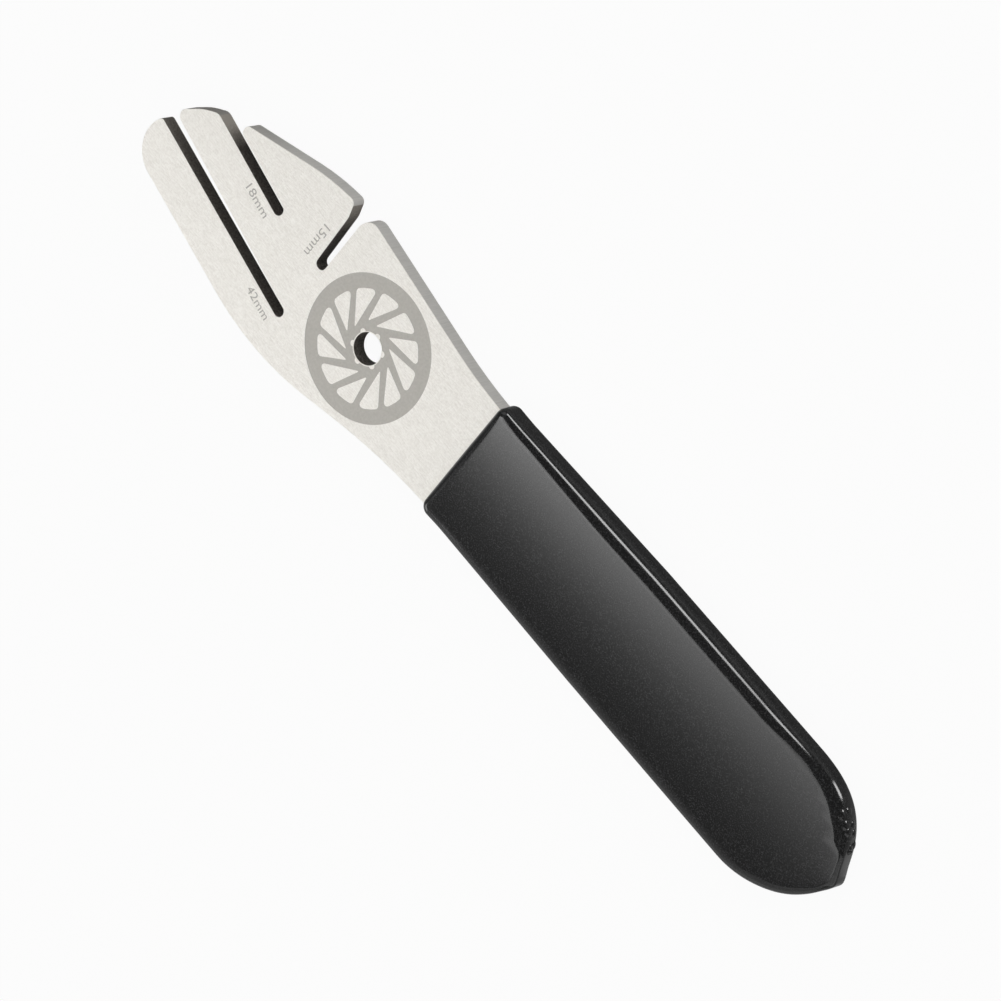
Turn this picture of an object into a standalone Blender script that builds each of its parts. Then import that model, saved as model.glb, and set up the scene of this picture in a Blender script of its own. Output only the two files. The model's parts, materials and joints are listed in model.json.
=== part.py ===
"""Disc brake truing tool: a forked steel plate whose tang is dipped in vinyl to make the grip.

The tool lies flat on its grip. +X runs from the fork to the grip's end, +Z points out of the marked face,
and the origin is the middle of the tool's footprint, on the surface that it lies on.
Lengths are in millimetres here, and become metres when a mesh is made.
"""

import math
from collections import namedtuple

import bmesh
import bpy
from mathutils import Matrix, Vector

MM = 0.001

# Steel plate. Its plan is drawn from the middle of the hanging hole, with x towards the grip.
PLATE_THICKNESS = 3.45
HOLE_DIAMETER = 6.2
HOLE_SIDES = 48
DRILL_DEPTH = 10.0
ARC_STEP = math.radians(15)  # the most that one straight stretch of an arc turns
ARC_ERROR = 0.02  # the most that it cuts inside the arc

# A slot takes the edge of a brake disc. It is given by the middle of its closed end, the heading from there
# to its mouth, the lengths of its two walls in the order that the outline meets them, the width at the closed
# end, how far each wall leans outwards, and the radius at the mouth end of each wall.
Slot = namedtuple("Slot", "end heading walls end_width lean lips")
SLOT_42 = Slot((-17.4, -9.5), 166.7, (44.2, 44.5), 2.3, 0.7, (1.5, 0.8))
SLOT_18 = Slot((-29.8, 4.8), 166.6, (16.9, 22.8), 2.4, 0.0, (0.7, 2.0))
SLOT_15 = Slot((-17.45, 3.3), 90.0, (12.7, 11.9), 2.25, 1.1, (3.0, 3.0))
SLOT_END_ROUND = 0.49  # corner radius at the closed end, as a share of the width there

# Corners of the fork's edges between the slots, each with the radius that rounds it.
LOWER_FINGER = [(-64.5, -9.5, 6.7)]
LOWER_EDGE = [(-17.6, -19.98, 62.0), (17.2, -12.4, 130.0)]
UPPER_EDGE = [(21.8, 12.75, 100.0), (-14.9, 18.73, 2.4)]
THIRD_FINGER = [(-19.75, 18.45, 1.2), (-26.25, 17.9, 48.0), (-46.3, 11.85, 1.2)]
MIDDLE_FINGER = [(-55.5, 6.9, 12.0)]

# Tang, the plate's straight end inside the grip.
TANG_END = 125.5
TANG_LOW = -12.4
TANG_HIGH = 12.75
TANG_CORNER = 12.0

# Vinyl grip: a dipped coat with rounded edges, closed round the tang's end. Its two sides are given at the
# mouth and where it reaches its full width.
COAT = 1.2
TANG_GAP = 0.3
GRIP_START = 27.15
GRIP_MOUTH = (-13.6, 14.25)
GRIP_FULL_FROM = 70.0
GRIP_FULL = (-14.05, 15.17)
GRIP_END_FROM = 112.0
GRIP_END_LENGTH = 18.3
GRIP_END_POINT = 1.22  # 1 would be half an ellipse, and more is more pointed
GRIP_END_FULLER = 1.0  # the end bulges this much more on the side of the side slot
GRIP_END_STEPS = 9
GRIP_CORNER = 2.15
GRIP_EDGE = 2.0
GRIP_EDGE_STEPS = 4
GRIP_RIM_ANGLE = math.radians(60)
POCKET_FROM = 17.5  # the pocket's cutter starts well outside the grip's mouth

# Drip nub at the grip's end, where the last of the vinyl set.
NUB_REACH = 1.0  # past the grip's own end
NUB_LENGTH = 5.2
NUB_WIDTH = 4.6
NUB_HEIGHT = 3.8
NUB_SIDES = 20
NUB_RINGS = 10

# Materials: name, linear colour, roughness and metallic.
STEEL = ("satin stainless steel", (0.76, 0.75, 0.72), 0.38, 1.0)
VINYL = ("black vinyl", (0.022, 0.022, 0.023), 0.35, 0.0)
SHARP_FROM = math.radians(35)


def clear_scene():
    for old in list(bpy.data.objects):
        bpy.data.objects.remove(old, do_unlink=True)


def finish(name, colour, roughness, metallic):
    """One material for one piece."""
    material = bpy.data.materials.new(name)
    material.use_nodes = True
    shader = material.node_tree.nodes["Principled BSDF"]
    shader.inputs["Base Color"].default_value = (*colour, 1.0)
    shader.inputs["Roughness"].default_value = roughness
    shader.inputs["Metallic"].default_value = metallic
    return material


def rounded(corners):
    """The closed outline through these corners, with each one that has a radius replaced by an arc."""
    points = []
    for index, (x, y, radius) in enumerate(corners):
        corner = Vector((x, y))
        if not radius:
            points.append(corner)
            continue
        before = (Vector(corners[index - 1][:2]) - corner).normalized()
        after = (Vector(corners[(index + 1) % len(corners)][:2]) - corner).normalized()
        half_angle = before.angle(after) / 2
        turn = math.pi - 2 * half_angle
        start = corner + before * radius / math.tan(half_angle)
        middle = corner + (before + after).normalized() * radius / math.sin(half_angle)
        side = math.copysign(1, before.y * after.x - before.x * after.y)
        steps = math.ceil(turn / min(ARC_STEP, 2 * math.acos(1 - ARC_ERROR / radius)))
        for step in range(steps + 1):
            points.append(middle + Matrix.Rotation(side * turn * step / steps, 2) @ (start - middle))
    return points


def slot_corners(slot):
    """The corners of a slot, in along one wall, across its closed end and out along the other wall."""
    heading = math.radians(slot.heading)
    out = Vector((math.cos(heading), math.sin(heading)))
    side = Vector((-out.y, out.x))
    lean = math.tan(math.radians(slot.lean))
    half = slot.end_width / 2
    end = Vector(slot.end)
    mouths = [
        (*(end + out * length + side * way * (half + lean * length)), radius)
        for way, length, radius in zip((-1, 1), slot.walls, slot.lips)
    ]
    closed = [(*(end + side * way * half), slot.end_width * SLOT_END_ROUND) for way in (-1, 1)]
    return [mouths[0], *closed, mouths[1]]


def plate_outline():
    """The plate's edge, walked anticlockwise from the lower finger's tip."""
    tang = [(TANG_END, TANG_LOW, TANG_CORNER), (TANG_END, TANG_HIGH, TANG_CORNER)]
    fork = UPPER_EDGE + slot_corners(SLOT_15) + THIRD_FINGER + slot_corners(SLOT_18)
    fork += MIDDLE_FINGER + slot_corners(SLOT_42)
    return rounded(LOWER_FINGER + LOWER_EDGE + tang + fork)


def grip_outline():
    """The grip's edge: straight sides that widen a little, then an end drawn in to the nub."""
    corners = [(GRIP_START, y, GRIP_CORNER) for y in reversed(GRIP_MOUTH)]
    corners.append((GRIP_FULL_FROM, GRIP_FULL[0], 0))
    half = (GRIP_FULL[1] - GRIP_FULL[0]) / 2
    for step in range(-GRIP_END_STEPS, GRIP_END_STEPS + 1):
        angle = math.pi / 2 * (1 - abs(step) / GRIP_END_STEPS)
        x = GRIP_END_FROM + GRIP_END_LENGTH * math.sin(angle)
        aside = half * math.cos(angle) ** GRIP_END_POINT
        if step > 0:
            aside += GRIP_END_FULLER * math.sin(2 * angle) ** 2
        corners.append((x, grip_middle() + math.copysign(aside, step), 0))
    corners.append((GRIP_FULL_FROM, GRIP_FULL[1], 0))
    return rounded(corners)


def grip_middle():
    return sum(GRIP_FULL) / 2


def slab(name, outline, bottom, top, plan):
    """A plan outline raised from one height to another."""
    mesh = bmesh.new()
    face = mesh.faces.new([mesh.verts.new((point.x * MM, point.y * MM, bottom * MM)) for point in outline])
    raised = bmesh.ops.extrude_face_region(mesh, geom=[face])["geom"]
    lifted = [item for item in raised if isinstance(item, bmesh.types.BMVert)]
    bmesh.ops.translate(mesh, verts=lifted, vec=(0, 0, (top - bottom) * MM))
    bmesh.ops.recalc_face_normals(mesh, faces=mesh.faces)
    return as_object(name, mesh, plan)


def as_object(name, mesh, plan):
    data = bpy.data.meshes.new(name)
    mesh.to_mesh(data)
    mesh.free()
    item = bpy.data.objects.new(name, data)
    item.parent = plan
    bpy.context.scene.collection.objects.link(item)
    return item


def boolean(item, other, operation):
    """Cut or join with a helper body, which is hidden."""
    change = item.modifiers.new(other.name, "BOOLEAN")
    change.operation = operation
    change.solver = "EXACT"
    change.object = other
    other.hide_render = True
    other.display_type = "WIRE"


def shade(item, material):
    item.data.materials.append(material)
    item.data.shade_smooth()
    item.data.set_sharp_from_angle(angle=SHARP_FROM)


def build_blade(outline, plan, bottom):
    blade = slab("blade", outline, bottom, bottom + PLATE_THICKNESS, plan)
    drill = bmesh.new()
    bmesh.ops.create_cone(
        drill,
        cap_ends=True,
        segments=HOLE_SIDES,
        radius1=HOLE_DIAMETER / 2 * MM,
        radius2=HOLE_DIAMETER / 2 * MM,
        depth=DRILL_DEPTH * MM,
        matrix=Matrix.Translation((0, 0, (bottom + PLATE_THICKNESS / 2) * MM)),
    )
    boolean(blade, as_object("hole_drill", drill, plan), "DIFFERENCE")
    shade(blade, finish(*STEEL))


def build_grip(outline, plan, blade_bottom):
    height = PLATE_THICKNESS + 2 * COAT
    grip = slab("grip", outline, 0.0, height, plan)
    rim = grip.modifiers.new("rounded rim", "BEVEL")
    rim.width = GRIP_EDGE * MM
    rim.segments = GRIP_EDGE_STEPS
    rim.limit_method = "ANGLE"
    rim.angle_limit = GRIP_RIM_ANGLE

    nub = bmesh.new()
    nub_middle = GRIP_END_FROM + GRIP_END_LENGTH + NUB_REACH - NUB_LENGTH / 2
    place = Matrix.Translation((nub_middle * MM, grip_middle() * MM, height / 2 * MM))
    size = Matrix.Diagonal((NUB_LENGTH / 2 * MM, NUB_WIDTH / 2 * MM, NUB_HEIGHT / 2 * MM, 1))
    quarter = Matrix.Rotation(math.pi / 2, 4, "Y")
    bmesh.ops.create_uvsphere(
        nub, u_segments=NUB_SIDES, v_segments=NUB_RINGS, radius=1, matrix=place @ size @ quarter
    )
    boolean(grip, as_object("nub_body", nub, plan), "UNION")

    pocket = rounded(
        [
            (POCKET_FROM, TANG_LOW - TANG_GAP, 0),
            (TANG_END + TANG_GAP, TANG_LOW - TANG_GAP, TANG_CORNER),
            (TANG_END + TANG_GAP, TANG_HIGH + TANG_GAP, TANG_CORNER),
            (POCKET_FROM, TANG_HIGH + TANG_GAP, 0),
        ]
    )
    pocket_bottom = blade_bottom - TANG_GAP
    pocket_top = blade_bottom + PLATE_THICKNESS + TANG_GAP
    boolean(grip, slab("tang_pocket", pocket, pocket_bottom, pocket_top, plan), "DIFFERENCE")
    shade(grip, finish(*VINYL))


def plan_origin(outline):
    """An empty at the middle of the hole, placed so that the footprint is centred on the scene's origin."""
    ends = (min(point.x for point in outline), GRIP_END_FROM + GRIP_END_LENGTH + NUB_REACH)
    sides = (min(point.y for point in outline), max(point.y for point in outline))
    plan = bpy.data.objects.new("plan_origin", None)
    plan.location = (-sum(ends) / 2 * MM, -sum(sides) / 2 * MM, 0)
    bpy.context.scene.collection.objects.link(plan)
    return plan


clear_scene()
plate = plate_outline()
origin = plan_origin(plate)
build_blade(plate, origin, COAT)
build_grip(grip_outline(), origin, COAT)
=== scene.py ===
"""Looks of the disc brake truing tool: a laser-cut stainless fork with a dipped vinyl grip, on paper.

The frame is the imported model, in metres. Plan sizes are in millimetres from the middle of the hanging
hole, with x towards the grip and y towards the side slot.
"""

import json
import math

import bpy
from mathutils import Matrix, Vector


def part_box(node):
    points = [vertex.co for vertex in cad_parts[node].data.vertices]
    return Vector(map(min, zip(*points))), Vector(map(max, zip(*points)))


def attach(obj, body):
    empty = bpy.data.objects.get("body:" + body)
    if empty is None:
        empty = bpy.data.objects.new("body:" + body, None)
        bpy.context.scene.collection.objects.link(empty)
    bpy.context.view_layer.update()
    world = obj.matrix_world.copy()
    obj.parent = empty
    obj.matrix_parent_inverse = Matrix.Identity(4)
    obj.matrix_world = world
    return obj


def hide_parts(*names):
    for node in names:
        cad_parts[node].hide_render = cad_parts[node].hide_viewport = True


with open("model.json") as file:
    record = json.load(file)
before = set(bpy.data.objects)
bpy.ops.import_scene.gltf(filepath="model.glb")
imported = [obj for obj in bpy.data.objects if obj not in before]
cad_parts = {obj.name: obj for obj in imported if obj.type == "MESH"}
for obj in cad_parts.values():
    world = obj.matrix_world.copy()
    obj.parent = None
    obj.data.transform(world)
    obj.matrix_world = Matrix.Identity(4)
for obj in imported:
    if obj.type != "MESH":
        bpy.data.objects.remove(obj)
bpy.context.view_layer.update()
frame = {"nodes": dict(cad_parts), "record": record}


# Blade: the steel
# One flat sheet of stainless steel, laser cut to its outline, slots and hole and then tumbled, which
# leaves a satin face and just breaks the edges. The tang runs on inside the grip, dipped over it.
MM = 0.001
EDGE_BREAK = 0.07 * MM
EDGE_BREAK_STEPS = 3
BROKEN_FROM = math.radians(60)  # an edge that turns more than this is broken
WELD = 0.001 * MM
FLAT_WITHIN = math.radians(0.5)
SMOOTH_WITHIN = math.radians(35)
hole_box = frame["record"]["physics"]["openings"][0]["box_m"]
hole = (Vector(hole_box[0]) + Vector(hole_box[1])) / 2
face_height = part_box("blade")[1].z
sheet_thickness = face_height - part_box("blade")[0].z


def on_plan(x, y, height=0.0):
    """A place on the tool's plan, in millimetres, as a point of the frame. The height is in metres."""
    return Vector((hole.x + x * MM, hole.y + y * MM, height))


def pick(piece):
    bpy.ops.object.select_all(action="DESELECT")
    piece.select_set(True)
    bpy.context.view_layer.objects.active = piece


def select_where(piece, kind, test):
    """Selects the vertices or edges that pass a test, and leaves the piece in edit mode."""
    pick(piece)
    bpy.ops.object.mode_set(mode="EDIT")
    bpy.ops.mesh.select_mode(type=kind)
    bpy.ops.mesh.select_all(action="DESELECT")
    bpy.ops.object.mode_set(mode="OBJECT")
    for item in {"VERT": piece.data.vertices, "EDGE": piece.data.edges}[kind]:
        item.select = test(item)
    bpy.ops.object.mode_set(mode="EDIT")


def linear(hex_colour):
    """An sRGB hex colour as linear RGBA."""
    parts = [int(hex_colour[i : i + 2], 16) / 255 for i in (1, 3, 5)]
    return (*(p / 12.92 if p <= 0.04045 else ((p + 0.055) / 1.055) ** 2.4 for p in parts), 1.0)


def add_node(owner, kind, inputs, **settings):
    """One shader node. Each input takes a value or another node's output."""
    made = owner.node_tree.nodes.new("ShaderNode" + kind)
    for name, value in settings.items():
        setattr(made, name, value)
    for name, value in inputs.items():
        if isinstance(value, bpy.types.NodeSocket):
            owner.node_tree.links.new(value, made.inputs[name])
        else:
            made.inputs[name].default_value = value
    return made


def new_material(name, **inputs):
    """A material whose shader takes these values."""
    material = bpy.data.materials.new(name)
    material.use_nodes = True
    shader = material.node_tree.nodes["Principled BSDF"]
    for socket, value in inputs.items():
        shader.inputs[socket.replace("_", " ")].default_value = value
    return material, shader


# Tumbled stainless sheet: a bright, slightly warm grey. Short fine scratches cross each other in two
# directions over a fine grain, so the face is evenly satin with no mirror in it.
STEEL_LIGHT = "#F8F6F1"
STEEL_DARK = "#E9E6E0"
SCRATCH_LENGTH = 1.5 * MM
SCRATCH_WIDTH = 0.14 * MM  # far finer on the real sheet, and drawn as wide as it has to be to show
SCRATCH_TURNS = (math.radians(24), math.radians(-52))
SCRATCH_DEPTH = 0.003 * MM
GRAIN = 0.3 * MM
GRAIN_SHARE = 0.7
WORN_RANGE = (0.7, 1.12)  # of scratches and grain together, from the dark tone to the light one
STEEL_ROUGHNESS = (0.64, 0.57)  # where the tone is dark, and where it is light
steel, shader = new_material("tumbled stainless sheet", Metallic=1.0)
place = add_node(steel, "TexCoord", {}).outputs["Object"]
scratches = []
for turn in SCRATCH_TURNS:
    turned = add_node(
        steel,
        "Mapping",
        {
            "Vector": place,
            "Rotation": (0, 0, turn),
            "Scale": (1 / SCRATCH_LENGTH, 1 / SCRATCH_WIDTH, 1 / SCRATCH_WIDTH),
        },
    )
    scratches.append(
        add_node(steel, "TexNoise", {"Vector": turned.outputs["Vector"], "Scale": 1.0, "Detail": 2.0})
    )
grain = add_node(steel, "TexNoise", {"Vector": place, "Scale": 1 / GRAIN, "Detail": 3.0})
both = add_node(
    steel, "Math", {0: scratches[0].outputs["Fac"], 1: scratches[1].outputs["Fac"]}, operation="MAXIMUM"
)
worn = add_node(
    steel,
    "Math",
    {0: grain.outputs["Fac"], 1: GRAIN_SHARE, 2: both.outputs[0]},
    operation="MULTIPLY_ADD",
)
tone = add_node(
    steel,
    "MapRange",
    {"Value": worn.outputs[0], "From Min": WORN_RANGE[0], "From Max": WORN_RANGE[1]},
)
colour = add_node(
    steel,
    "Mix",
    {0: tone.outputs["Result"], 6: linear(STEEL_DARK), 7: linear(STEEL_LIGHT)},
    data_type="RGBA",
)
rough = add_node(
    steel,
    "MapRange",
    {"Value": tone.outputs["Result"], "To Min": STEEL_ROUGHNESS[0], "To Max": STEEL_ROUGHNESS[1]},
)
relief = add_node(
    steel, "Bump", {"Height": both.outputs[0], "Strength": 0.5, "Distance": SCRATCH_DEPTH}
)
for socket, value in (
    ("Base Color", colour.outputs[2]),
    ("Roughness", rough.outputs["Result"]),
    ("Normal", relief.outputs["Normal"]),
):
    steel.node_tree.links.new(value, shader.inputs[socket])

# Laser-cut edge: duller and greyer than the face, with fine upright lines where the beam moved along.
# The heat had nowhere to go at the tips of the fingers, so the edge browns towards them.
CUT_LIGHT = "#DAD8D4"
CUT_DARK = "#BEBCB8"
CUT_HEATED = "#625D56"
HEATED_FROM = -34.0  # along the plan
HEATED_AT = -62.0
CUT_LINE = 0.22 * MM
CUT_LINE_HEIGHT = 6.0 * MM
CUT_DEPTH = 0.02 * MM
cut_edge, shader = new_material("laser-cut stainless edge", Metallic=0.3, Roughness=0.6)
place = add_node(cut_edge, "TexCoord", {}).outputs["Object"]
upright = add_node(
    cut_edge, "Mapping", {"Vector": place, "Scale": (1 / CUT_LINE, 1 / CUT_LINE, 1 / CUT_LINE_HEIGHT)}
)
lines = add_node(
    cut_edge, "TexNoise", {"Vector": upright.outputs["Vector"], "Scale": 1.0, "Detail": 2.0}
)
colour = add_node(
    cut_edge,
    "Mix",
    {0: lines.outputs["Fac"], 6: linear(CUT_DARK), 7: linear(CUT_LIGHT)},
    data_type="RGBA",
)
sides = add_node(cut_edge, "SeparateXYZ", {"Vector": place})
heat = add_node(
    cut_edge,
    "MapRange",
    {
        "Value": sides.outputs["X"],
        "From Min": on_plan(HEATED_FROM, 0).x,
        "From Max": on_plan(HEATED_AT, 0).x,
    },
)
tinted = add_node(
    cut_edge,
    "Mix",
    {0: heat.outputs["Result"], 6: colour.outputs[2], 7: linear(CUT_HEATED)},
    data_type="RGBA",
)
relief = add_node(
    cut_edge, "Bump", {"Height": lines.outputs["Fac"], "Strength": 0.4, "Distance": CUT_DEPTH}
)
cut_edge.node_tree.links.new(tinted.outputs[2], shader.inputs["Base Color"])
cut_edge.node_tree.links.new(relief.outputs["Normal"], shader.inputs["Normal"])

# Burnt cut: inside a narrow slot the beam's heat leaves a brown-black scale, rubbed off at the mouth.
# The brown-black is also painted shade down in the slots and the hole. The lighter grey towards a slot's
# mouth is partly wear and partly painted light where the slot opens.
BURNT_AND_SHADED = "#332D27"
RUBBED_AND_LIT = "#A09A92"
BURNT_GRAIN = 0.35 * MM
BURNT_GRAIN_SHARE = 0.7
BURNT_AND_SHADED_RANGE = (0.24, 1.05)  # of grain and the lightening towards the mouth together, from scale and painted shade to rubbed, lit metal
HOLE_RADIUS = 3.1
HOLE_REACH = 3.4  # the hole's wall lies this near to its middle
SLOT_REACH = 2.4  # a wall lies this near to its slot's middle line
SLOTS = {  # closed end, heading of the mouth, depth, the depth where the wear and painted light start, and how much lighter the mouth is
    "deep": ((-17.4, -9.5), 166.7, 43.6, 28.0, 0.22),
    "middle": ((-29.8, 4.8), 166.6, 22.4, 15.0, 1.0),
    "side": ((-17.45, 3.3), 90.0, 13.6, 8.0, 0.55),
}


def burnt_and_shaded_cut(name, closed_end, heading, depth, lighter_from_depth, lighter_share):
    """The scale and painted shade on one slot's walls, which lighten to grey between two depths, partly
    as wear and partly as painted light near the mouth.
    """
    material, burnt_and_shaded_shader = new_material(name, Metallic=0.3, Roughness=0.6)
    spot = add_node(material, "TexCoord", {}).outputs["Object"]
    along = add_node(
        material,
        "Mapping",
        {"Vector": spot, "Location": on_plan(*closed_end), "Rotation": (0, 0, math.radians(heading))},
        vector_type="TEXTURE",
    )
    inward = add_node(material, "SeparateXYZ", {"Vector": along.outputs["Vector"]})
    grain = add_node(material, "TexNoise", {"Vector": spot, "Scale": 1 / BURNT_GRAIN, "Detail": 3.0})
    # Lighter towards the mouth: partly wear, partly painted light where the slot opens, over painted
    # shade deeper in.
    wear_and_painted_light = add_node(
        material,
        "MapRange",
        {
            "Value": inward.outputs["X"],
            "From Min": lighter_from_depth * MM,
            "From Max": depth * MM,
            "To Max": lighter_share,
        },
    )
    patchy = add_node(
        material,
        "Math",
        {0: grain.outputs["Fac"], 1: BURNT_GRAIN_SHARE, 2: wear_and_painted_light.outputs["Result"]},
        operation="MULTIPLY_ADD",
    )
    share = add_node(
        material,
        "MapRange",
        {"Value": patchy.outputs[0], "From Min": BURNT_AND_SHADED_RANGE[0], "From Max": BURNT_AND_SHADED_RANGE[1]},
    )
    tint = add_node(
        material,
        "Mix",
        {0: share.outputs["Result"], 6: linear(BURNT_AND_SHADED), 7: linear(RUBBED_AND_LIT)},
        data_type="RGBA",
    )
    material.node_tree.links.new(tint.outputs[2], burnt_and_shaded_shader.inputs["Base Color"])
    return material


blade = bpy.data.objects.new("steel_blade", frame["nodes"]["blade"].data.copy())
bpy.context.scene.collection.objects.link(blade)
pick(blade)
bpy.ops.mesh.customdata_custom_splitnormals_clear()
bpy.ops.object.mode_set(mode="EDIT")
bpy.ops.mesh.select_all(action="SELECT")
bpy.ops.mesh.remove_doubles(threshold=WELD)
bpy.ops.mesh.dissolve_limited(angle_limit=FLAT_WITHIN)
bpy.ops.object.mode_set(mode="OBJECT")

blade.data.materials.clear()
for finish in (steel, cut_edge):
    blade.data.materials.append(finish)
for slot_name, slot_shape in SLOTS.items():
    blade.data.materials.append(burnt_and_shaded_cut(f"burnt and shaded {slot_name} slot", *slot_shape))
# The hole's wall is all scale and painted shade, with no lighter mouth.
blade.data.materials.append(burnt_and_shaded_cut("burnt and shaded hole", (0, 0), 0, 2 * HOLE_RADIUS, HOLE_RADIUS, 0.0))
for polygon in blade.data.polygons:
    if abs(polygon.normal.z) > 0.5:  # the sheet's two faces
        polygon.material_index = 0
        continue
    spot = (polygon.center - on_plan(0, 0)).xy / MM
    polygon.material_index = len(blade.data.materials) - 1 if spot.length < HOLE_REACH else 1
    for index, (closed_end, heading, depth, *_) in enumerate(SLOTS.values(), 2):
        inward = Matrix.Rotation(-math.radians(heading), 2) @ (spot - Vector(closed_end))
        if -SLOT_REACH < inward.x < depth and abs(inward.y) < SLOT_REACH:
            polygon.material_index = index

broken = blade.modifiers.new("broken edges", "BEVEL")
broken.width = EDGE_BREAK
broken.segments = EDGE_BREAK_STEPS
broken.limit_method = "ANGLE"
broken.angle_limit = BROKEN_FROM
broken.use_clamp_overlap = False
broken.material = 0
bpy.ops.object.modifier_apply(modifier=broken.name)


# Blade: the etched marks
# A brake disc figure round the hole and a depth in millimetres beside each slot, burnt into the face by
# a marking laser. The beam leaves a hair's depth and a dull grey.
ETCH_DEPTH = 0.05 * MM
FIGURE_RADIUS = 14.1
WINDOW_RADIUS = 11.25
WINDOW_OUTER = (-0.6, 23.3)  # bearings of a window's two outer corners, in degrees
WINDOW_TIPS = {0: (4.68, 49.1), 30: (5.2, 40.5)}  # by a window's turn: its tip's radius and bearing
WINDOW_ARC_CUTS = 2
WINDOW_ROUNDS = (1.25, 0.65, 0.6)  # how far from each corner its rounding starts
WINDOW_ROUND_STEPS = 6
WINDOW_PAIRS = 6
BARE_RIM = 3.3
BOLT_CIRCLE = 3.25
BOLT_BEARING = 28.0
BOLT_RADIUS = 0.62
FIGURE_SIDES = 128
DEPTH_MARKS = {  # text: middle, slope and length of the line
    "42mm": ((-22.8, -11.5), -13.4, 6.8),
    "18mm": ((-35.3, 2.9), -13.4, 6.8),
    "15mm": ((-21.0, 7.0), -90.0, 7.2),
}
MARK_HEIGHT = 1.75

# Laser-marked steel: the same sheet, scoured dull and grey.
ETCHED_LIGHT = "#C4C1BB"
ETCHED_DARK = "#AFACA6"
ETCHED_GRAIN = 0.45 * MM
etched, shader = new_material("laser-marked steel", Metallic=0.85, Roughness=0.58)
place = add_node(etched, "TexCoord", {}).outputs["Object"]
grain = add_node(etched, "TexNoise", {"Vector": place, "Scale": 1 / ETCHED_GRAIN, "Detail": 4.0})
colour = add_node(
    etched,
    "Mix",
    {0: grain.outputs["Fac"], 6: linear(ETCHED_DARK), 7: linear(ETCHED_LIGHT)},
    data_type="RGBA",
)
etched.node_tree.links.new(colour.outputs[2], shader.inputs["Base Color"])


def combine(piece, other, how="DIFFERENCE"):
    """Takes another body out of a piece, or adds it, and the faces that it leaves keep its finish."""
    pick(piece)
    change = piece.modifiers.new("combined", "BOOLEAN")
    change.object = other
    change.operation = how
    change.solver = "EXACT"
    change.material_mode = "TRANSFER"
    bpy.ops.object.modifier_apply(modifier=change.name)
    bpy.data.objects.remove(other)


def polar(radius, bearing):
    return Vector((radius * math.cos(math.radians(bearing)), radius * math.sin(math.radians(bearing))))


bpy.ops.mesh.primitive_cylinder_add(
    vertices=FIGURE_SIDES,
    radius=FIGURE_RADIUS * MM,
    depth=2 * ETCH_DEPTH,
    location=on_plan(0, 0, face_height),
)
figure = bpy.context.object
figure.data.materials.append(etched)

for turn, (tip_radius, tip_bearing) in WINDOW_TIPS.items():
    # From a triangle: the outer side is divided and laid on the arc, and the corners are rounded.
    bpy.ops.mesh.primitive_circle_add(vertices=3, radius=MM, fill_type="NGON", location=(0, 0, 0))
    window = bpy.context.object
    corners = [polar(WINDOW_RADIUS, bearing) for bearing in WINDOW_OUTER]
    corners.append(polar(tip_radius, tip_bearing))
    window_turn = Matrix.Rotation(math.radians(turn), 2)
    for vertex, corner in zip(window.data.vertices, corners):
        vertex.co = on_plan(*(window_turn @ corner), face_height - 2 * ETCH_DEPTH)
    select_where(window, "EDGE", lambda edge: set(edge.vertices) == {0, 1})
    bpy.ops.mesh.subdivide(number_cuts=WINDOW_ARC_CUTS)
    bpy.ops.object.mode_set(mode="OBJECT")
    for vertex in window.data.vertices[3:]:
        from_hole = (vertex.co - on_plan(0, 0)).xy.normalized() * WINDOW_RADIUS
        vertex.co = on_plan(*from_hole, vertex.co.z)
    for corner in (2, 1, 0):
        select_where(window, "VERT", lambda vertex: vertex.index == corner)
        bpy.ops.mesh.bevel(
            offset=WINDOW_ROUNDS[corner] * MM, segments=WINDOW_ROUND_STEPS, affect="VERTICES"
        )
        bpy.ops.object.mode_set(mode="OBJECT")
    bpy.ops.object.mode_set(mode="EDIT")
    bpy.ops.mesh.select_all(action="SELECT")
    bpy.ops.mesh.extrude_region_move(TRANSFORM_OT_translate={"value": (0, 0, 4 * ETCH_DEPTH)})
    bpy.ops.mesh.select_all(action="SELECT")
    bpy.ops.mesh.spin(
        steps=WINDOW_PAIRS - 1,
        dupli=True,
        angle=math.tau * (WINDOW_PAIRS - 1) / WINDOW_PAIRS,
        center=hole,
        axis=(0, 0, 1),
    )
    bpy.ops.mesh.select_all(action="SELECT")
    bpy.ops.mesh.normals_make_consistent(inside=False)
    bpy.ops.object.mode_set(mode="OBJECT")
    combine(figure, window)

bare_spots = [(BARE_RIM, (0, 0))]
for step in range(WINDOW_PAIRS):
    bare_spots.append((BOLT_RADIUS, polar(BOLT_CIRCLE, BOLT_BEARING + 360 / WINDOW_PAIRS * step)))
for radius, middle in bare_spots:
    bpy.ops.mesh.primitive_cylinder_add(
        vertices=FIGURE_SIDES // 2,
        radius=radius * MM,
        depth=4 * ETCH_DEPTH,
        location=on_plan(*middle, face_height),
    )
    combine(figure, bpy.context.object)
combine(blade, figure)

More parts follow.
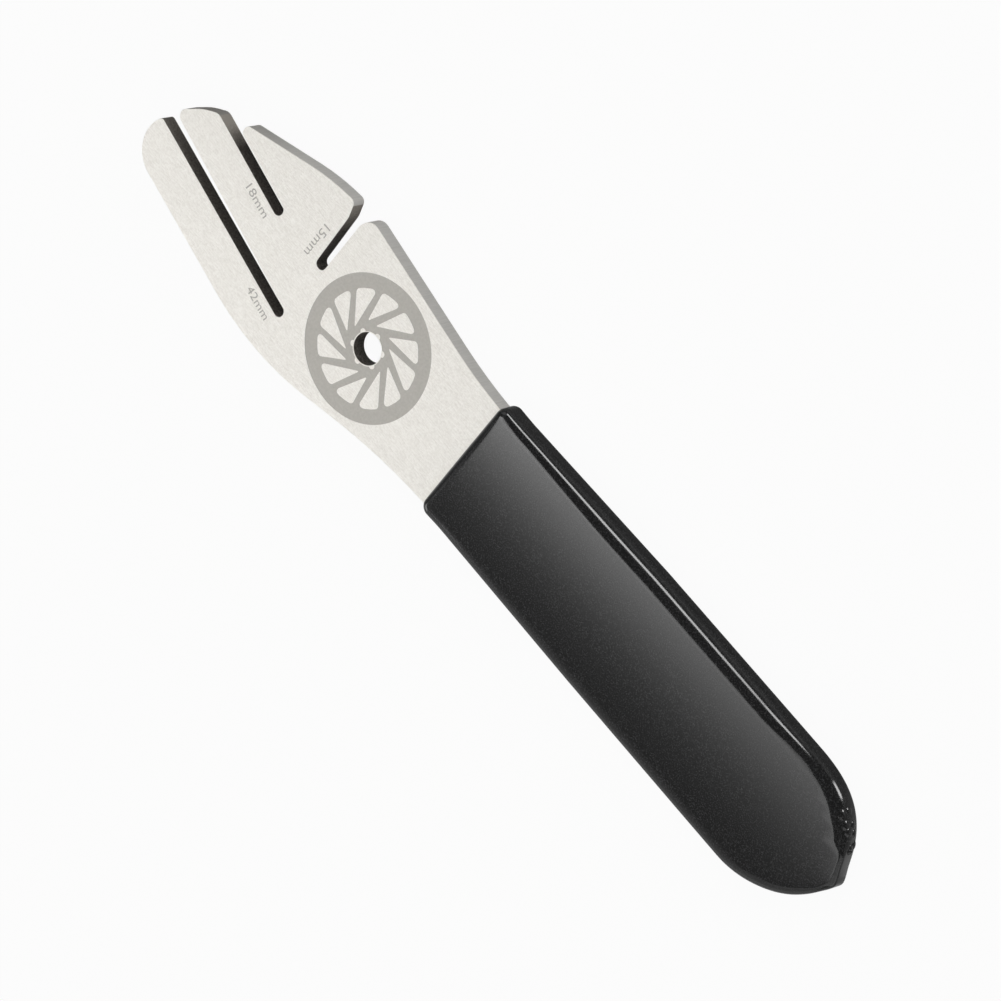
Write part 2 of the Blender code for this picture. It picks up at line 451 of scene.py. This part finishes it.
for text, (middle, slope, length) in DEPTH_MARKS.items():
    bpy.ops.object.text_add()
    mark = bpy.context.object
    mark.data.body = text
    mark.data.size = MM
    mark.data.extrude = ETCH_DEPTH
    mark.data.align_x = "CENTER"
    mark.data.align_y = "CENTER"
    pick(mark)
    bpy.ops.object.convert(target="MESH")
    mark = bpy.context.object
    mark.data.materials.clear()
    mark.data.materials.append(etched)
    points = [vertex.co for vertex in mark.data.vertices]
    low = Vector([min(point[axis] for point in points) for axis in range(2)])
    high = Vector([max(point[axis] for point in points) for axis in range(2)])
    fit = (length * MM / (high.x - low.x), MARK_HEIGHT * MM / (high.y - low.y))
    to_middle = Matrix.Translation((-(low.x + high.x) / 2, -(low.y + high.y) / 2, 0))
    turn = Matrix.Rotation(math.radians(slope), 4, "Z")
    to_place = Matrix.Translation(on_plan(*middle, face_height))
    mark.data.transform(to_place @ turn @ Matrix.Diagonal((*fit, 1, 1)) @ to_middle)
    bpy.ops.object.mode_set(mode="EDIT")
    bpy.ops.mesh.select_all(action="SELECT")
    bpy.ops.mesh.remove_doubles(threshold=WELD)
    bpy.ops.mesh.normals_make_consistent(inside=False)
    bpy.ops.object.mode_set(mode="OBJECT")
    combine(blade, mark)

pick(blade)
bpy.ops.object.shade_smooth_by_angle(angle=SMOOTH_WITHIN)
flat = blade.modifiers.new("flat faces", "WEIGHTED_NORMAL")
flat.keep_sharp = True
bpy.ops.object.modifier_apply(modifier=flat.name)
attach(blade, "root")
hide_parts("blade")


# Grip
# A coat of black vinyl plastisol, made by dipping the hot tang and letting the last of it run down to the
# end. The face is a little crowned, the rims are round and the run-off left a small nub.
grip_low, grip_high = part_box("grip")
GRIP_MOUTH = 27.15
MOUTH_SIDES = (-13.6, 14.25)
MOUTH_CORNER = 2.15
FULL_FROM = 70.0
FULL_SIDES = (-14.05, 15.17)
END_FROM = 112.0
END_LENGTH = 18.3
END_POINT = 1.22
END_FULLER = 1.0
END_STEPS = 40
SIDE_STOPS = (31.0, 33.0, 36.0, *range(40, 75, 5), *range(100, 112, 2))
CORNER_STEPS = 12
MOUTH_STEPS = 16
RIM_STEPS = 12
SKIN_SMOOTH_WITHIN = math.radians(16)
ELLIPSE = 2.0  # power of a roll's curve, where more is squarer
LOWER_ROUND = 2.0
LOWER_GROWS = (1.0, 6.0)  # from the mouth on: where the round grows to that
UPPER_ROUND = 2.9  # along the side of the side slot
UPPER_GROWS = (4.0, 33.0)
UPPER_ENDS = (-11.0, -1.0)  # from the start of the end: where it turns to the end's own reach
END_REACHES = (  # round the end: the bearing, and how far in the rim is rounded there
    (-90, 2.0),
    (-55, 2.3),
    (-25, 1.8),
    (-8, 1.2),
    (19, 1.0),
    (26, 2.5),
    (33, 2.8),
    (42, 3.1),
    (57, 2.85),
    (72, 2.5),
    (90, 2.1),
)
END_SOFT = 2.2  # power of the roll's curve at the tip
END_SOFT_IN = (-80, -35)  # bearings between which it comes in, and goes out again
END_SOFT_OUT = (8, 24)
MOUTH_ROUND = 1.5
MOUTH_LIP = 2.1  # the lip's round reaches further back between the corners
CROWN = 0.32
END_FALL = 0.35
END_FALL_FROM = 100.0
NUB_REACH = 1.0
NUB_FROM = 125.0
NUB_FULL_AT = 130.0
NUB_WIDTH = 2.3
NUB_HEIGHT = 2.2
CUT_SPACING = (3.0, 1.6)  # along and across, to divide the two faces
CUT_COUNTS = (33, 17)
BLISTERS = (  # on the plan, with the height above the blade's face, then ball radius, stretch and rise
    (123.2, 11.2, 0.15, 1.3, 1.6, 0.15),
    (123.4, 12.2, -1.0, 1.1, 1.4, 0.11),
    (125.0, 10.3, -0.2, 1.3, 1.4, 0.18),
    (125.5, 10.6, -1.64, 0.75, 1.6, 0.26),
    (126.1, 9.6, -0.55, 1.3, 1.2, 0.22),
    (126.6, 9.4, -1.99, 0.7, 1.6, 0.3),
    (127.9, 7.5, -2.42, 0.65, 1.7, 0.3),
    (128.1, 7.1, -1.37, 0.65, 1.6, 0.32),
    (128.5, 6.5, -1.23, 0.55, 1.5, 0.28),
)
BLISTER_SIDES = 40
BLISTER_RINGS = 30
TANG = ((10.0, -12.4), (125.5, 12.75))
TANG_CORNER = 12.0
TANG_PLAY = 0.02
grip_middle = sum(FULL_SIDES) / 2
grip_half = (FULL_SIDES[1] - FULL_SIDES[0]) / 2
half_height = (grip_high.z - grip_low.z) / 2 / MM


def mouth_corner(side, start):
    """The arc at one corner of the mouth, with the direction that its rim rounds in."""
    y = MOUTH_SIDES[side]
    inward = 1 if side == 0 else -1
    centre = Vector((GRIP_MOUTH + MOUTH_CORNER, y + inward * MOUTH_CORNER))
    for step in range(CORNER_STEPS + 1):
        angle = start + math.pi / 2 * step / CORNER_STEPS
        way = Vector((math.cos(angle), math.sin(angle)))
        yield centre + way * MOUTH_CORNER, -way


def side_point(x, side):
    """A point of one long side, which widens from the mouth to the full width."""
    part = min(1.0, (x - GRIP_MOUTH - MOUTH_CORNER) / (FULL_FROM - GRIP_MOUTH - MOUTH_CORNER))
    return Vector((x, MOUTH_SIDES[side] + (FULL_SIDES[side] - MOUTH_SIDES[side]) * part))


def grip_edge():
    """The grip's outline, anticlockwise, each point with the direction that its rim rounds in."""
    yield from mouth_corner(0, math.pi)
    for x in SIDE_STOPS:
        yield side_point(x, 0), Vector((0, 1))
    hub = Vector((END_FROM, grip_middle))
    for step in range(-END_STEPS, END_STEPS + 1):
        angle = math.pi / 2 * (1 - abs(step) / END_STEPS)
        aside = math.copysign(grip_half * math.cos(angle) ** END_POINT, step)
        if step > 0:
            aside += END_FULLER * math.sin(2 * angle) ** 2
        point = hub + Vector((END_LENGTH * math.sin(angle), aside))
        yield point, (hub - point).normalized()
    for x in reversed(SIDE_STOPS):
        yield side_point(x, 1), Vector((0, -1))
    yield from mouth_corner(1, math.pi / 2)
    low, high = MOUTH_SIDES[0] + MOUTH_CORNER, MOUTH_SIDES[1] - MOUTH_CORNER
    for step in range(1, MOUTH_STEPS):
        yield Vector((GRIP_MOUTH, high + (low - high) * step / MOUTH_STEPS)), Vector((1, 0))


def eased(value, start, stop):
    """Rises smoothly from 0 to 1 between two values."""
    part = min(1.0, max(0.0, (value - start) / (stop - start)))
    return part * part * (3 - 2 * part)


def rim_round(point, side):
    """How far in, how deep and with what power the rim is rounded at a point of the outline."""
    if point.x <= GRIP_MOUTH + WELD:
        along = (2 * point.y - sum(MOUTH_SIDES)) / (MOUTH_SIDES[1] - MOUTH_SIDES[0] - 2 * MOUTH_CORNER)
        reach = MOUTH_ROUND + (MOUTH_LIP - MOUTH_ROUND) * max(0.0, 1 - along**4)
        return reach, MOUTH_ROUND, ELLIPSE
    radius = MOUTH_ROUND + (LOWER_ROUND - MOUTH_ROUND) * eased(point.x - GRIP_MOUTH, *LOWER_GROWS)
    if side < 0:
        return radius, radius, ELLIPSE
    if point.x <= END_FROM:
        if point.y > grip_middle:
            radius += (UPPER_ROUND - LOWER_ROUND) * eased(point.x - GRIP_MOUTH, *UPPER_GROWS)
            radius += (END_REACHES[-1][1] - UPPER_ROUND) * eased(point.x - END_FROM, *UPPER_ENDS)
        return radius, radius, ELLIPSE
    bearing = math.degrees(math.atan2(point.y - grip_middle, point.x - END_FROM))
    reach = next(
        low + (high - low) * eased(bearing, start, stop)
        for (start, low), (stop, high) in zip(END_REACHES, END_REACHES[1:])
        if bearing <= stop
    )
    soft = eased(bearing, *END_SOFT_IN) * (1 - eased(bearing, *END_SOFT_OUT))
    return reach, min(reach, UPPER_ROUND), ELLIPSE + (END_SOFT - ELLIPSE) * soft


edge = list(grip_edge())
bpy.ops.mesh.primitive_circle_add(vertices=len(edge), radius=MM, fill_type="NGON")
grip = bpy.context.object
grip.name = "vinyl_grip"


def lay_ring(vertices, angle, side):
    """Puts one ring of the rim in place, at an angle up its round, on the upper or the lower side."""
    for vertex, (point, inward) in zip(vertices, edge):
        reach, drop, power = rim_round(point, side)
        spot = point + inward * reach * (1 - max(0.0, math.cos(angle)) ** (2 / power))
        height = half_height + side * (half_height - drop + drop * math.sin(angle))
        vertex.co = on_plan(*spot, grip_low.z + height * MM)


lay_ring(grip.data.vertices, math.pi / 2, -1)
rings = [(-1, math.pi / 2 * (1 - step / RIM_STEPS)) for step in range(1, RIM_STEPS + 1)]
rings += [(1, math.pi / 2 * step / RIM_STEPS) for step in range(RIM_STEPS + 1)]
for side, angle in rings:
    bpy.ops.object.mode_set(mode="EDIT")
    bpy.ops.mesh.select_mode(type="FACE")
    bpy.ops.mesh.extrude_region_move()
    bpy.ops.object.mode_set(mode="OBJECT")
    top = next(polygon for polygon in grip.data.polygons if polygon.select)
    lay_ring([grip.data.vertices[index] for index in top.vertices], angle, side)
grip.data.update()

bpy.ops.object.mode_set(mode="EDIT")
bpy.ops.mesh.select_all(action="SELECT")
bpy.ops.mesh.normals_make_consistent(inside=False)
cuts = []
for step in range(1, CUT_COUNTS[0] + 1):
    cuts.append(((GRIP_MOUTH + CUT_SPACING[0] * step, 0), (1, 0, 0)))
for step in range(1, CUT_COUNTS[1] + 1):
    cuts.append(((0, FULL_SIDES[0] + CUT_SPACING[1] * step), (0, 1, 0)))
for (x, y), normal in cuts:
    bpy.ops.mesh.select_all(action="SELECT")
    bpy.ops.mesh.bisect(plane_co=on_plan(x, y), plane_no=normal, threshold=WELD)
bpy.ops.object.mode_set(mode="OBJECT")

# Both faces fall off towards the rims and the end, and the tip is drawn out to the nub.
for vertex in grip.data.vertices:
    x, y = (vertex.co - on_plan(0, 0)).xy / MM
    rise = (vertex.co.z - grip_low.z) / MM - half_height
    out = (y - grip_middle) / grip_half
    along = max(0.0, (x - END_FALL_FROM) / (END_FROM + END_LENGTH - END_FALL_FROM))
    rise *= 1 - (CROWN * out**2 + END_FALL * along**2) / half_height
    near_tip = math.exp(-(((y - grip_middle) / NUB_WIDTH) ** 2) - (rise / NUB_HEIGHT) ** 2)
    x += NUB_REACH * near_tip * min(1.0, max(0.0, (x - NUB_FROM) / (NUB_FULL_AT - NUB_FROM)))
    vertex.co = on_plan(x, y, grip_low.z + (half_height + rise) * MM)

# Where the vinyl ran together last, air left blisters in the skin.
grip.data.update()
bpy.context.view_layer.update()
for x, y, height, ball, stretch, rise in BLISTERS:
    _, spot, normal, _ = grip.closest_point_on_mesh(on_plan(x, y, face_height + height * MM))
    along = Vector((-normal.y, normal.x, 0)).normalized()
    turn = Matrix((along, normal.cross(along), normal)).transposed().to_4x4()
    bpy.ops.mesh.primitive_uv_sphere_add(
        segments=BLISTER_SIDES, ring_count=BLISTER_RINGS, radius=ball * MM
    )
    blister = bpy.context.object
    to_skin = Matrix.Translation(spot - normal * (ball - rise) * MM)
    blister.data.transform(to_skin @ turn @ Matrix.Diagonal((stretch, 1, 1, 1)))
    combine(grip, blister, "UNION")

# The vinyl lies on the tang, so the tang's form is taken out of it, and slivers that this leaves go.
bpy.ops.mesh.primitive_cube_add(size=1)
tang = bpy.context.object
tang_size = Vector(TANG[1]) - Vector(TANG[0]) + Vector((2, 2)) * TANG_PLAY
tang_middle = on_plan(*(Vector(TANG[1]) + Vector(TANG[0])) / 2, face_height - sheet_thickness / 2)
tang.data.transform(
    Matrix.Translation(tang_middle)
    @ Matrix.Diagonal((tang_size.x * MM, tang_size.y * MM, sheet_thickness + 2 * TANG_PLAY * MM, 1))
)
far_end = {vertex.index for vertex in tang.data.vertices if vertex.co.x > tang_middle.x}
above = {vertex.index for vertex in tang.data.vertices if vertex.co.z > tang_middle.z}
select_where(
    tang,
    "EDGE",
    lambda corner: set(corner.vertices) <= far_end and len(set(corner.vertices) & above) == 1,
)
bpy.ops.mesh.bevel(offset=TANG_CORNER * MM, segments=CORNER_STEPS)
bpy.ops.object.mode_set(mode="OBJECT")
combine(grip, tang)
pick(grip)
bpy.ops.object.mode_set(mode="EDIT")
bpy.ops.mesh.select_all(action="SELECT")
bpy.ops.mesh.dissolve_degenerate(threshold=WELD)
bpy.ops.object.mode_set(mode="OBJECT")

# Dipped vinyl: a deep black, smooth and glossy but not polished. The skin sets with a faint orange peel
# and holds dust-fine specks.
VINYL = "#020202"
VINYL_SPECK = "#303031"
PEEL = 1.1 * MM
PEEL_DEPTH = 0.0012 * MM
SPECK = 0.25 * MM  # finer on the real skin, and drawn as coarse as it has to be to show
SPECK_RANGE = (0.48, 0.7)  # of the noise, from bare skin to a full speck
VINYL_ROUGHNESS = (0.125, 0.165)  # of the skin, and of a speck
vinyl, shader = new_material("dipped black vinyl", IOR=1.5)
place = add_node(vinyl, "TexCoord", {}).outputs["Object"]
peel = add_node(vinyl, "TexNoise", {"Vector": place, "Scale": 1 / PEEL, "Detail": 2.0})
speck = add_node(vinyl, "TexNoise", {"Vector": place, "Scale": 1 / SPECK, "Detail": 3.0})
dust = add_node(
    vinyl,
    "MapRange",
    {"Value": speck.outputs["Fac"], "From Min": SPECK_RANGE[0], "From Max": SPECK_RANGE[1]},
)
colour = add_node(
    vinyl,
    "Mix",
    {0: dust.outputs["Result"], 6: linear(VINYL), 7: linear(VINYL_SPECK)},
    data_type="RGBA",
)
rough = add_node(
    vinyl,
    "MapRange",
    {"Value": dust.outputs["Result"], "To Min": VINYL_ROUGHNESS[0], "To Max": VINYL_ROUGHNESS[1]},
)
relief = add_node(
    vinyl, "Bump", {"Height": peel.outputs["Fac"], "Strength": 0.5, "Distance": PEEL_DEPTH}
)
for socket, value in (
    ("Base Color", colour.outputs[2]),
    ("Roughness", rough.outputs["Result"]),
    ("Normal", relief.outputs["Normal"]),
):
    vinyl.node_tree.links.new(value, shader.inputs[socket])
grip.data.materials.clear()
grip.data.materials.append(vinyl)
for polygon in grip.data.polygons:
    polygon.material_index = 0
pick(grip)
bpy.ops.object.shade_smooth_by_angle(angle=SKIN_SMOOTH_WITHIN)
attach(grip, "root")
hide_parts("grip")


# Paper
# A sweep of white paper, level under the tool and turned up a little far away, so that it is the
# background from every side. It glows to white where it is seen, apart from the tool's shadow. In
# reflections it glows dimmer, and close to the tool that glow is darkened into a painted shadow, which
# lifts beyond the tool's end.
PAPER_SIDES = 96
PAPER_RADIUS = 2.4
PAPER_RISE = 0.5
PAPER_BEND = 0.6
PAPER_WHITE = "#BEBEBD"
PAPER_GLOW = 0.95
PAPER_MIRRORED = 0.48  # brightness in a reflection, far from the tool
PAPER_PAINTED_SHADE = 0.18  # painted shade in reflections close beside the tool
PAPER_BEYOND = 0.6  # close by, but beyond the tool's end, where the painted shade lifts
BEYOND_FROM = 118.0  # along the plan
BEYOND_AT = 131.0
PAINTED_SHADE_WITHIN = 2.0 * MM  # a reflection this near shows the paper with painted shade
BRIGHT_FROM = 16.0 * MM
bpy.ops.mesh.primitive_circle_add(
    vertices=PAPER_SIDES, radius=PAPER_RADIUS, fill_type="NGON", location=(0, 0, grip_low.z)
)
paper = bpy.context.object
paper.name = "paper"
bpy.ops.object.mode_set(mode="EDIT")
bpy.ops.mesh.select_all(action="SELECT")
bpy.ops.mesh.select_mode(type="FACE")
bpy.ops.mesh.inset(thickness=PAPER_BEND)
bpy.ops.object.mode_set(mode="OBJECT")
for vertex in paper.data.vertices:
    if vertex.co.xy.length > PAPER_RADIUS - PAPER_BEND / 2:
        vertex.co.z += PAPER_RISE
white, shader = new_material("white paper", Base_Color=linear(PAPER_WHITE), Roughness=0.9)
light_path = add_node(white, "LightPath", {})
place = add_node(white, "SeparateXYZ", {"Vector": add_node(white, "TexCoord", {}).outputs["Object"]})
# Painted shadow: in reflections the paper's glow is dimmed near the tool, by the ray's length, and less
# so beyond the tool's end.
painted_shade_by_place = add_node(
    white,
    "MapRange",
    {
        "Value": place.outputs["X"],
        "From Min": on_plan(BEYOND_FROM, 0).x,
        "From Max": on_plan(BEYOND_AT, 0).x,
        "To Min": PAPER_PAINTED_SHADE,
        "To Max": PAPER_BEYOND,
    },
)
reflected_glow_and_painted_shade = add_node(
    white,
    "MapRange",
    {
        "Value": light_path.outputs["Ray Length"],
        "From Min": PAINTED_SHADE_WITHIN,
        "From Max": BRIGHT_FROM,
        "To Min": painted_shade_by_place.outputs["Result"],
        "To Max": PAPER_MIRRORED,
    },
)
mirrored = add_node(
    white,
    "Math",
    {0: light_path.outputs["Is Glossy Ray"], 1: reflected_glow_and_painted_shade.outputs["Result"]},
    operation="MULTIPLY",
)
looked_at = add_node(
    white,
    "Math",
    {0: light_path.outputs["Is Camera Ray"], 1: light_path.outputs["Is Transmission Ray"]},
    operation="ADD",
)
bright = add_node(white, "Math", {0: looked_at.outputs[0], 1: mirrored.outputs[0]}, operation="ADD")
seen = add_node(
    white, "Math", {0: looked_at.outputs[0], 1: light_path.outputs["Is Glossy Ray"]}, operation="ADD"
)
share = add_node(white, "Math", {0: seen.outputs[0], 1: PAPER_GLOW}, operation="MULTIPLY")
glow = add_node(white, "Emission", {"Color": (1, 1, 1, 1), "Strength": bright.outputs[0]})
surface = add_node(
    white, "MixShader", {0: share.outputs[0], 1: shader.outputs["BSDF"], 2: glow.outputs["Emission"]}
)
output = white.node_tree.nodes["Material Output"]
white.node_tree.links.new(surface.outputs["Shader"], output.inputs["Surface"])
paper.data.materials.append(white)
pick(paper)
bpy.ops.object.transform_apply(location=True, rotation=True, scale=True)
bpy.ops.object.shade_smooth()


# Lamps
# A soft box hangs flat over the tool's left. A small one on the right draws the line on the grip's rim, a
# low one its last glint, and two beyond the fork fill the steel. Dim panels close off the grip's end, the
# right and the far left, and the room is nearly dark, so the vinyl stays black between them.
ROOM_LIGHT = 0.24
OVER_PLACE = (-60.0, -425.0, 700.0)  # on the plan, with the height above the blade's face
OVER_SIZE = (720.0, 270.0)
OVER_BRIGHT = (9.0, 3.6)  # radiance along the near edge, towards the fork and towards the grip's end
OVER_ALONG = (0.16, 0.6)  # where the one turns to the other, as shares of the length
OVER_FALL = 3.15  # power of the fall across, to nothing at the far edge
PANELS = {  # place, size, radiance, and the place that it faces
    "side_strip": ((-166.0, 614.0, 602.0), (220.0, 190.0), 12.5, (174.0, 54.0, 52.0)),
    "low_lamp": ((414.0, 730.0, 205.0), (190.0, 240.0), 13.0, (120.0, 14.0, 0.0)),
    "fork_box": ((-540.0, 300.0, 580.0), (520.0, 480.0), 0.9, (0.0, 0.0, 0.0)),
    "far_panel": ((-480.0, -810.0, 560.0), (420.0, 360.0), 3.4, (0.0, 0.0, 0.0)),
    "right_panel": ((-200.0, 950.0, 230.0), (1000.0, 420.0), 0.3, (60.0, 14.0, 0.0)),
    "end_box": ((392.0, -465.0, 700.0), (186.0, 470.0), 0.6, (392.0, -465.0, 0.0)),
    "tip_box": ((180.0, -590.0, 700.0), (240.0, 220.0), 0.28, (180.0, -590.0, 0.0)),
    "end_panel": ((900.0, -385.0, 450.0), (990.0, 1150.0), 0.85, (128.0, -385.0, 0.0)),
    "left_panel": ((-100.0, -960.0, 490.0), (1800.0, 980.0), 0.42, (0.0, 0.0, 0.0)),
}


def hang_lamp(name, place, size, radiance, facing):
    """A rectangular soft box, placed on the plan in millimetres, with two sides level, facing a point."""
    lamp = bpy.data.lights.new(name, "AREA")
    lamp.shape = "RECTANGLE"
    lamp.size, lamp.size_y = (side * MM for side in size)
    lamp.energy = radiance * math.pi * lamp.size * lamp.size_y
    box = bpy.data.objects.new(name, lamp)
    spot = on_plan(*place[:2], face_height + place[2] * MM)
    back = (spot - on_plan(*facing[:2], face_height + facing[2] * MM)).normalized()
    level = Vector((1, 0, 0)) if abs(back.x) < 0.7 else Vector((0, 1, 0))
    across = (level - back * back.dot(level)).normalized()
    turn = Matrix((across, back.cross(across), back)).transposed().to_4x4()
    box.matrix_world = Matrix.Translation(spot) @ turn
    bpy.context.scene.collection.objects.link(box)
    return lamp


over_box = hang_lamp("over_box", OVER_PLACE, OVER_SIZE, 1.0, (*OVER_PLACE[:2], 0.0))
over_box.use_nodes = True
spread = add_node(over_box, "NewGeometry", {}).outputs["Parametric"]
sides = add_node(over_box, "SeparateXYZ", {"Vector": spread})
rising = add_node(over_box, "Math", {0: sides.outputs["Y"], 1: OVER_FALL}, operation="POWER")
along_light = add_node(
    over_box,
    "MapRange",
    {
        "Value": sides.outputs["X"],
        "From Min": OVER_ALONG[0],
        "From Max": OVER_ALONG[1],
        "To Min": OVER_BRIGHT[0],
        "To Max": OVER_BRIGHT[1],
    },
    interpolation_type="SMOOTHSTEP",
)
strength = add_node(
    over_box, "Math", {0: rising.outputs[0], 1: along_light.outputs["Result"]}, operation="MULTIPLY"
)
emission = over_box.node_tree.nodes["Emission"]
over_box.node_tree.links.new(strength.outputs[0], emission.inputs["Strength"])
for name, panel in PANELS.items():
    hang_lamp(name, *panel)
world = bpy.context.scene.world or bpy.data.worlds.new("room")
bpy.context.scene.world = world
world.use_nodes = True
background = world.node_tree.nodes["Background"]
background.inputs["Color"].default_value = (1, 1, 1, 1)
background.inputs["Strength"].default_value = ROOM_LIGHT


# Camera
# A long lens above the grip's right, turned so that the tool runs from top left to bottom right.
CAMERA_PLACE = (240.4, 376.1, 619.9)  # on the plan, with the height above the blade's face
CAMERA_AIM = (38.4, 0.36, 0.0)
CAMERA_ROLL = math.radians(106.9)
LENS = 149.9
SENSOR_WIDTH = 36.0
CLIP_START = 0.01
camera = bpy.data.objects.new("camera", bpy.data.cameras.new("camera"))
camera.data.lens = LENS
camera.data.sensor_width = SENSOR_WIDTH
camera.data.clip_start = CLIP_START
eye = on_plan(*CAMERA_PLACE[:2], face_height + CAMERA_PLACE[2] * MM)
aim = on_plan(*CAMERA_AIM[:2], face_height + CAMERA_AIM[2] * MM)
level = (aim - eye).to_track_quat("-Z", "Y").to_matrix().to_4x4()
camera.matrix_world = Matrix.Translation(eye) @ level @ Matrix.Rotation(-CAMERA_ROLL, 4, "Z")
bpy.context.scene.collection.objects.link(camera)
bpy.context.scene.camera = camera
bpy.context.scene.view_settings.view_transform = "Standard"
